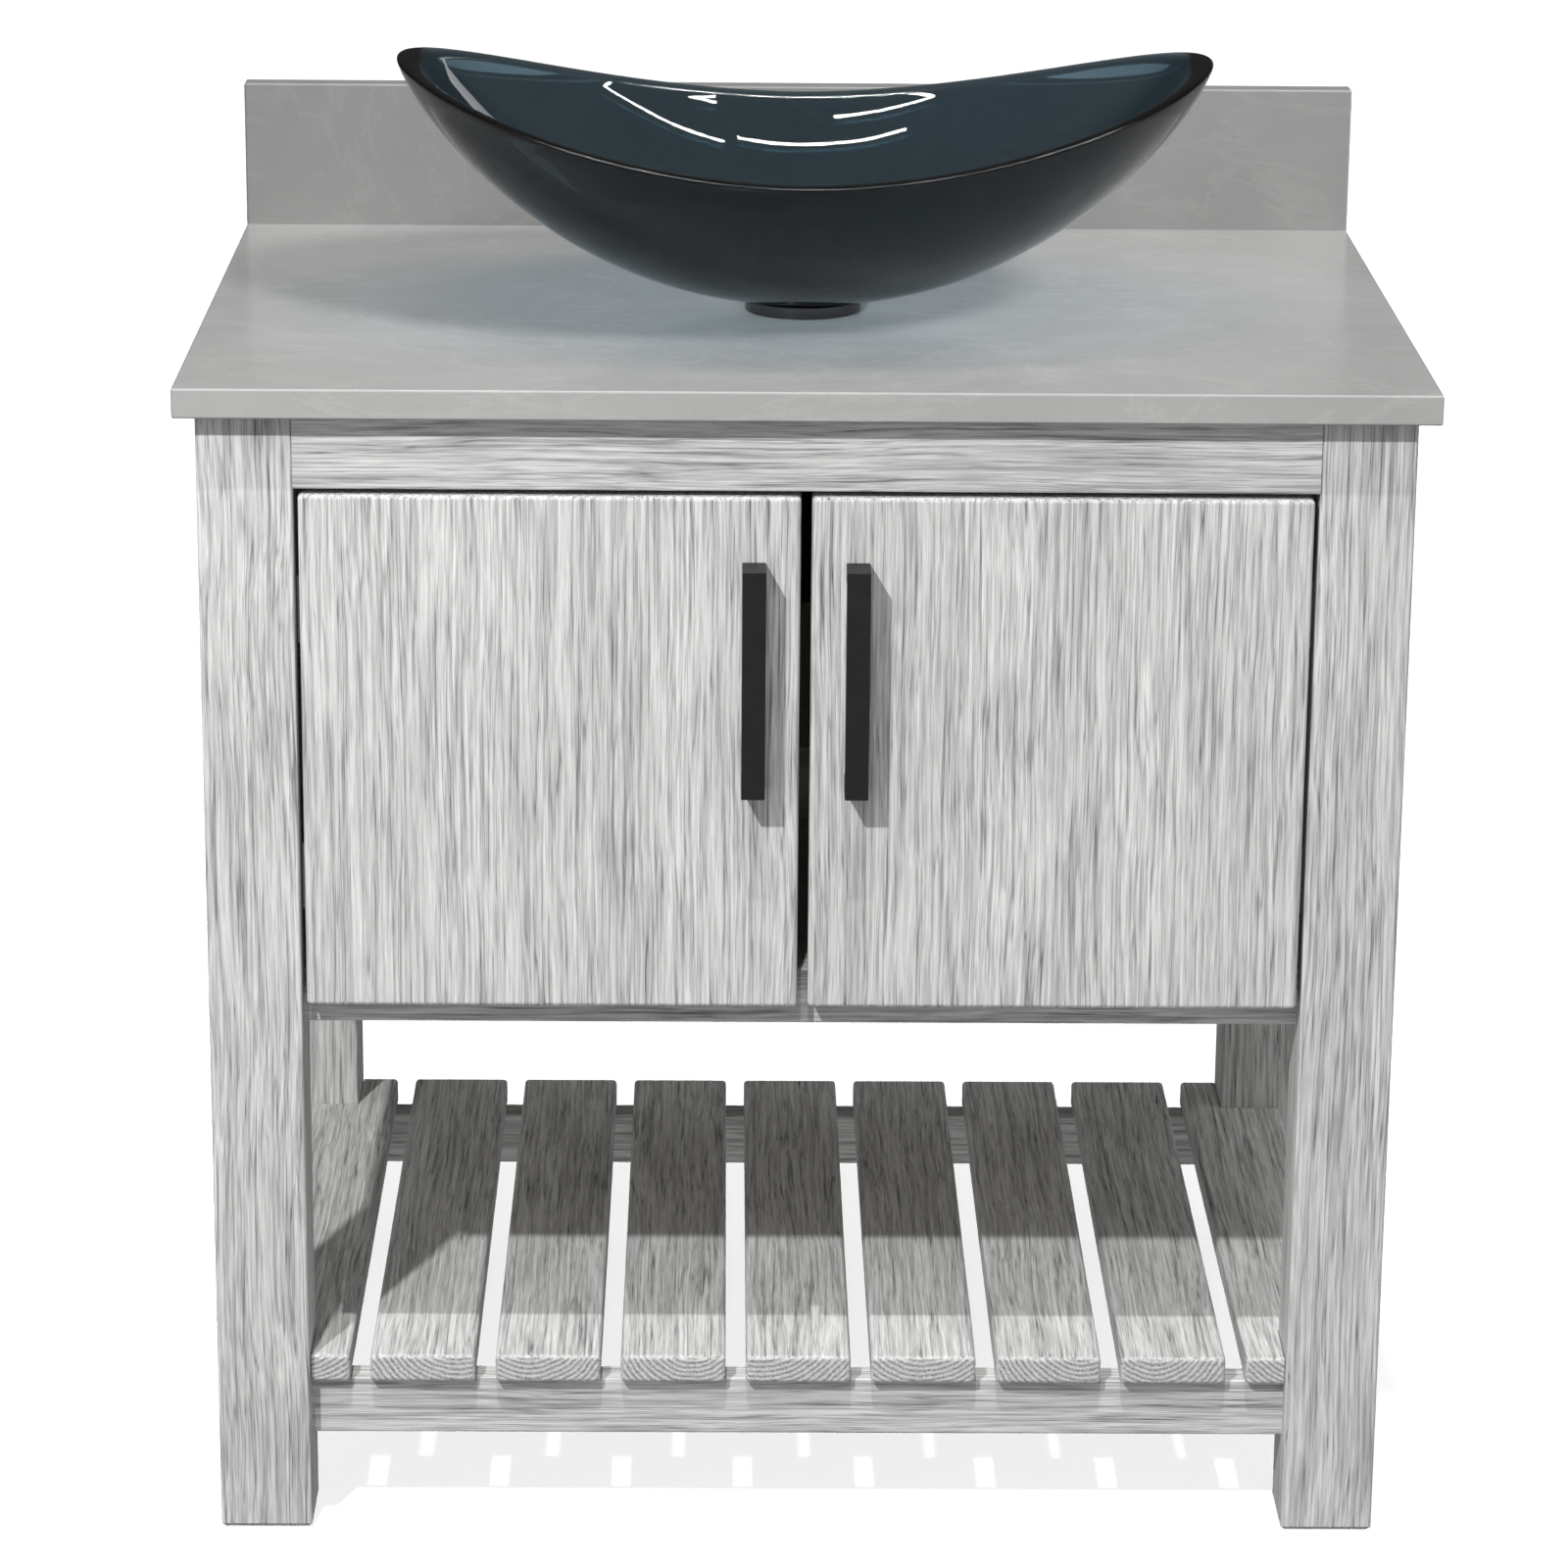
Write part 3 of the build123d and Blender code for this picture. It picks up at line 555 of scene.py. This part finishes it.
def powder_coat():
    """Matt black powder coat with its fine orange peel."""
    shader = Shader("black_powder_coat")
    spot = shader.coordinates.outputs["Object"]
    peel = shader.noise(spot, peel_scale, detail=2.0)
    patches = shader.noise(spot, coat_patch_scale, detail=2.0)
    shader.set(specular=coat_specular)
    shader.feed(
        color=shader.blend(patches, coat_dark, coat_light),
        rough=shader.spread(patches, *noise_middle, *coat_roughness),
        normal=shader.bump(peel, peel_relief, peel_bump),
    )
    return shader.material


def soft(name, color, rough):
    """Rubber or nylon with a faint moulded texture."""
    shader = Shader(name)
    spot = shader.coordinates.outputs["Object"]
    grain = shader.noise(spot, moulded_scale, detail=2.0)
    patches = shader.noise(spot, moulded_patch_scale)
    shade = shader.spread(patches, *noise_middle, *moulded_tones)
    smoothest, roughest = rough - moulded_roughness_spread, rough + moulded_roughness_spread
    shader.feed(
        color=shader.blend(1.0, color, shader.tint(shade), "MULTIPLY"),
        rough=shader.spread(grain, *noise_middle, smoothest, roughest),
        normal=shader.bump(grain, moulded_relief, moulded_bump),
    )
    return shader.material


def floor_paint():
    shader = Shader("studio_floor")
    shader.set(color=(0.42, 0.42, 0.42, 1.0), rough=0.9, specular=0.0)
    return shader.material


# ---- pieces -------------------------------------------------------------------------------------

def side_table(half_span, root, depth, foot_z, tip_z):
    """Heights and radii of the bowl's side in one upright plane, a given depth in the glass."""
    share = np.linspace(0.0, 1.0, side_samples) ** 2
    out = (1 - (1 - share) ** bowl_side_power) ** (1 / root)
    radius = bowl_foot_radius + (half_span - bowl_foot_radius) * out
    height = foot_z + share * (tip_z - foot_z)
    run = np.gradient(radius)
    rise = np.gradient(height)
    run[0], rise[0] = 1.0, 0.0
    length = np.hypot(run, rise)
    return height + depth * run / length, radius - depth * rise / length


def bowl_rim_height(x, half_length, foot_z, tip_z):
    middle = foot_z + bowl_middle_height
    return middle + (tip_z - middle) * np.abs(x / half_length) ** bowl_rim_power


def glass_bowl():
    """The boat-shaped bowl in one closed skin, from its foot over the rounded rim to the drain."""
    low, high = node_box("glass_bowl")
    centre = ((low.x + high.x) / 2, (low.y + high.y) / 2)
    foot_z, tip_z = low.z, high.z
    half_length = (high.x - low.x) / 2
    middle_share = bowl_middle_height / (tip_z - foot_z)
    reached = (1 - (1 - middle_share) ** bowl_side_power) ** (1 / bowl_width_root)
    half_width = bowl_foot_radius + ((high.y - low.y) / 2 - bowl_foot_radius) / reached
    angles = np.linspace(0, 2 * math.pi, bowl_columns, endpoint=False)
    cosine, sine = np.cos(angles), np.sin(angles)
    rows = []

    def tables(depth):
        long_side = side_table(half_length, bowl_length_root, depth, foot_z, tip_z)
        short_side = side_table(half_width, bowl_width_root, depth, foot_z, tip_z)
        return long_side, short_side

    def row(heights, long_side, short_side):
        x = np.interp(heights, *long_side) * cosine
        y = np.interp(heights, *short_side) * sine
        rows.append([(centre[0] + a, centre[1] + b, c) for a, b, c in zip(x, y, heights)])

    def circle(radius, z):
        turn = zip(cosine, sine)
        rows.append([(centre[0] + radius * a, centre[1] + radius * b, z) for a, b in turn])

    def rim_heights(drop, long_side):
        z = np.full(angles.shape, foot_z + bowl_middle_height)
        for _ in range(rim_search_steps):
            x = np.interp(z, *long_side) * cosine
            z = bowl_rim_height(x, half_length, foot_z, tip_z) - drop
        return z

    def wall(depth, upwards):
        sides = tables(depth)
        top = rim_heights(bowl_rim_round, sides[0])
        base = foot_z + depth
        shares = [(k / bowl_wall_rows) ** bowl_row_crowding for k in range(bowl_wall_rows + 1)]
        for share in shares if upwards else reversed(shares):
            row(base + (top - base) * share, *sides)

    circle(bowl_hole_radius + bowl_hole_bevel, foot_z)
    wall(0.0, True)
    rim_start = len(rows)
    for k in range(1, bowl_rim_turns):
        angle = math.pi * k / bowl_rim_turns
        drop = bowl_rim_round * (1 - math.sin(angle) ** bowl_rim_squareness)
        sides = tables(bowl_glass / 2 * (1 - math.cos(angle)))
        row(rim_heights(drop, sides[0]), *sides)
    rim_end = len(rows)
    wall(bowl_glass, False)
    floor_z = foot_z + bowl_glass
    circle(bowl_hole_radius + bowl_hole_bevel, floor_z)
    circle(bowl_hole_radius, floor_z - bowl_hole_bevel)
    circle(bowl_hole_radius, foot_z + bowl_hole_bevel)
    verts = [vert for ring in rows for vert in ring]
    piece = new_object("vessel_bowl", verts, grid_faces(len(rows), len(angles), True))
    on_rim = np.zeros((len(rows), len(angles)), dtype=np.float32)
    on_rim[rim_start:rim_end] = 1.0
    piece.data.attributes.new("rim", "FLOAT", "POINT").data.foreach_set("value", on_rim.ravel())
    return piece


def mounting_ring():
    """The polished ring under the bowl, turned with eased edges."""
    low, high = node_box("mounting_ring")
    inner, outer = bowl_hole_radius, (high.x - low.x) / 2
    corners = [(inner, low.z), (outer, low.z), (outer, high.z), (inner, high.z)]
    centre = ((low.x + high.x) / 2, (low.y + high.y) / 2)
    return lathe("polished_ring", rounded(corners, ring_edge_round), centre)


def stopper_cap():
    """The domed push cap, with a rolled edge."""
    low, high = node_box("popup_cap")
    outer = (high.x - low.x) / 2
    rim_z = low.z + cap_edge_height
    profile = [
        (0.0, low.z),
        (outer - cap_foot_bevel, low.z),
        (outer, low.z + cap_foot_bevel),
        (outer, rim_z - cap_top_ease),
    ]
    for k in range(cap_crown_rings):
        radius = min(outer * math.cos(math.pi / 2 * k / cap_crown_rings), outer - cap_side_ease)
        profile.append((radius, rim_z + (high.z - rim_z) * (1 - (radius / outer) ** 2)))
    profile.append((0.0, high.z))
    centre = ((low.x + high.x) / 2, (low.y + high.y) / 2)
    return lathe("domed_cap", profile, centre, closed=False)


def paint(name, material):
    """Give a CAD node one material, kept on its object."""
    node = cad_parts[name]
    if not node.material_slots:
        node.data.materials.append(material)
    for slot in node.material_slots:
        slot.link = "OBJECT"
        slot.material = material


def dress(piece, material, body, slot, *nodes):
    """A Blender piece that stands for CAD nodes."""
    piece.data.materials.append(material)
    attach(piece, body)
    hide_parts(*nodes)


# ---- stage --------------------------------------------------------------------------------------

def floor():
    """A plain pale floor, with a lamp of its own that keeps it white and its shadows faint."""
    signs = ((-1, -1), (1, -1), (1, 1), (-1, 1))
    corners = [(floor_reach * x, floor_reach * y, 0) for x, y in signs]
    piece = new_object("studio_floor", corners, [(0, 1, 2, 3)], smooth=False)
    piece.data.materials.append(floor_paint())
    lit = bpy.data.collections.new("lit_floor")
    lit.objects.link(piece)
    piece.visible_diffuse = False
    piece.visible_glossy = False
    lamp = far_light("floor_wash", floor_wash_towards, floor_wash_strength, floor_wash_softness)
    lamp.light_linking.receiver_collection = lit
    lamp.light_linking.blocker_collection = lit


def area_light(name, place, target, size, power):
    """A rectangular softbox or strip, aimed at a point."""
    data = bpy.data.lights.new(name, "AREA")
    data.shape = "RECTANGLE"
    data.size, data.size_y = size
    data.energy = power
    lamp = bpy.data.objects.new(name, data)
    lamp.location = place
    lamp.rotation_euler = (Vector(target) - Vector(place)).to_track_quat("-Z", "Y").to_euler()
    bpy.context.scene.collection.objects.link(lamp)
    return lamp


def far_light(name, towards, strength, softness):
    """A distant studio light: towards is the direction from the object to the light."""
    data = bpy.data.lights.new(name, "SUN")
    data.energy = strength
    data.angle = math.radians(softness)
    lamp = bpy.data.objects.new(name, data)
    lamp.rotation_euler = Vector(towards).to_track_quat("Z", "Y").to_euler()
    bpy.context.scene.collection.objects.link(lamp)
    return lamp


def sky():
    """A plain grey sky, with a darker patch behind the object for the glass to mirror."""
    world = bpy.data.worlds.new("studio")
    world.use_nodes = True
    nodes, links = world.node_tree.nodes, world.node_tree.links
    direction = nodes.new("ShaderNodeTexCoord")
    facing = nodes.new("ShaderNodeVectorMath")
    facing.operation = "DOT_PRODUCT"
    facing.inputs[1].default_value = Vector(backdrop_towards).normalized()
    ramp = nodes.new("ShaderNodeValToRGB")
    links.new(direction.outputs["Generated"], facing.inputs[0])
    links.new(facing.outputs["Value"], ramp.inputs["Fac"])
    links.new(ramp.outputs["Color"], nodes["Background"].inputs["Color"])
    stops = zip(ramp.color_ramp.elements, backdrop_edge, (sky_level, backdrop_level))
    for stop, position, level in stops:
        stop.position = position
        stop.color = (level, level, level, 1.0)
    bpy.context.scene.world = world


def lights():
    """Keys for the wood and the counter, a soft one for the stone, strips for the bowl."""
    key_place = door_middle + front_key_towards * front_key_distance
    key_size = (front_key_side, front_key_side)
    front_key = area_light("front_key", key_place, door_middle, key_size, front_key_power)
    high_key = far_light("high_key", high_key_towards, high_key_strength, high_key_softness)
    soft_key = far_light("soft_key", soft_key_towards, soft_key_strength, soft_key_softness)
    panel = (bowl_middle + rear_panel_offset, bowl_middle, rear_panel_size, rear_panel_power)
    rear_panel = area_light("rear_panel", *panel)

    only_the_bowl = chosen("only_the_bowl", ("vessel_bowl",), "INCLUDE")
    not_the_bowl = chosen("not_the_bowl", bowl_pieces + ("backsplash",), "EXCLUDE")
    not_the_top = chosen("not_the_top", bowl_pieces + stone_pieces, "EXCLUDE")
    past_the_bowl = chosen("past_the_bowl", ("vessel_bowl",), "EXCLUDE")
    front_key.light_linking.receiver_collection = not_the_bowl
    front_key.light_linking.blocker_collection = past_the_bowl
    high_key.light_linking.receiver_collection = not_the_top
    soft_key.light_linking.receiver_collection = chosen("only_the_stone", stone_pieces, "INCLUDE")
    rear_panel.light_linking.receiver_collection = only_the_bowl

    for index, (low_x, high_x, y) in enumerate(tube_spans, start=1):
        place = ((low_x + high_x) / 2, y, tube_height)
        below = (place[0], y, 0.0)
        size = (high_x - low_x, tube_width)
        area_light(f"ceiling_tube_{index}", place, below, size, tube_power)
        glint = area_light(f"ceiling_glint_{index}", place, below, size, glint_power)
        glint.light_linking.receiver_collection = only_the_bowl


def chosen(name, pieces, state):
    """A group of pieces that a lamp treats alone (INCLUDE) or leaves out (EXCLUDE)."""
    group = bpy.data.collections.new(name)
    for piece in pieces:
        group.objects.link(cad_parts.get(piece) or bpy.data.objects[piece])
    for member in group.collection_objects:
        member.light_linking.link_state = state
    return group


def camera():
    data = bpy.data.cameras.new("photo_camera")
    data.sensor_width = camera_sensor
    data.lens = camera_lens
    data.clip_end = 100.0
    place = bpy.data.objects.new("photo_camera", data)
    turn = Matrix.Rotation(math.radians(camera_turn), 4, "Z")
    tilt = Matrix.Rotation(math.pi / 2 - math.radians(camera_pitch_down), 4, "X")
    roll = Matrix.Rotation(math.radians(camera_roll), 4, "Z")
    place.matrix_world = Matrix.Translation(camera_place) @ turn @ tilt @ roll
    bpy.context.scene.collection.objects.link(place)
    bpy.context.scene.camera = place


# ---- build --------------------------------------------------------------------------------------

def finish_wood():
    grains = {
        "post_front_left": "Z", "post_front_right": "Z",
        "post_rear_left": "Z", "post_rear_right": "Z",
        "door_left": "Z", "door_right": "Z",
        "top_front_rail": "X", "bottom_front_rail": "X",
        "stretcher_front": "X", "stretcher_rear": "X",
        "stretcher_side_left": "Y", "stretcher_side_right": "Y",
        "side_panel_left": "Z", "side_panel_right": "Z",
    }
    for seed, (name, grain) in enumerate(grains.items()):
        paint(name, washed_wood(f"washed_{name}", grain, seed + 1))
    for index in range(1, 10):
        name = f"shelf_slat_{index}"
        low, high = node_box(name)
        sway = ((index * 7) % 5 - 2) * heart_sway_step
        depth = heart_depth + heart_depth_step * ((index * 3) % 4)
        heart = ((low.x + high.x) / 2 + sway, 0.0, high.z + depth)
        paint(name, washed_wood(f"washed_{name}", "Y", slat_seed + index, ring_centre=heart))
    inner = {"back_panel": "Z", "back_rail": "X", "cabinet_floor": "X", "corner_blocks": "X"}
    for seed, (name, grain) in enumerate(inner.items()):
        paint(name, plain_board(f"board_{name}", grain, inner_seed + seed))


def finish_rest():
    top = stone()
    paint("countertop", top)
    paint("backsplash", top)
    dark = metal("black_chrome", (0.11, 0.11, 0.115, 1.0), rough=0.13)
    for name in ("drain_body", "popup_plug", "popup_cartridge", "tailpiece"):
        paint(name, dark)
    zinc = metal("zinc_steel", (0.62, 0.63, 0.65, 1.0), rough=0.34, grit=600.0)
    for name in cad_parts:
        if name.startswith(("hinge_", "pull_screws")) or name == "shelf_screws":
            paint(name, zinc)
    black = powder_coat()
    paint("pull_left", black)
    paint("pull_right", black)
    rubber = soft("soft_rubber", (0.02, 0.02, 0.02, 1.0), rough=0.72)
    for name in ("ring_gaskets", "flange_gasket", "drain_washer", "popup_seal",
                 "door_bumper_left", "door_bumper_right"):
        paint(name, rubber)
    paint("drain_nut", metal("brass_nut", (0.72, 0.53, 0.27, 1.0), rough=0.30))
    paint("glides", soft("glide_nylon", (0.035, 0.028, 0.022, 1.0), rough=0.55))
    dress(glass_bowl(), smoked_glass(), "cabinet", "smoked_glass", "glass_bowl")
    dress(mounting_ring(), dark, "cabinet", "black_chrome", "mounting_ring")
    dress(stopper_cap(), dark, "stopper", "black_chrome", "popup_cap")


bpy.context.scene.view_settings.view_transform = "Standard"
camera()
floor()
finish_wood()
finish_rest()
sky()
lights()
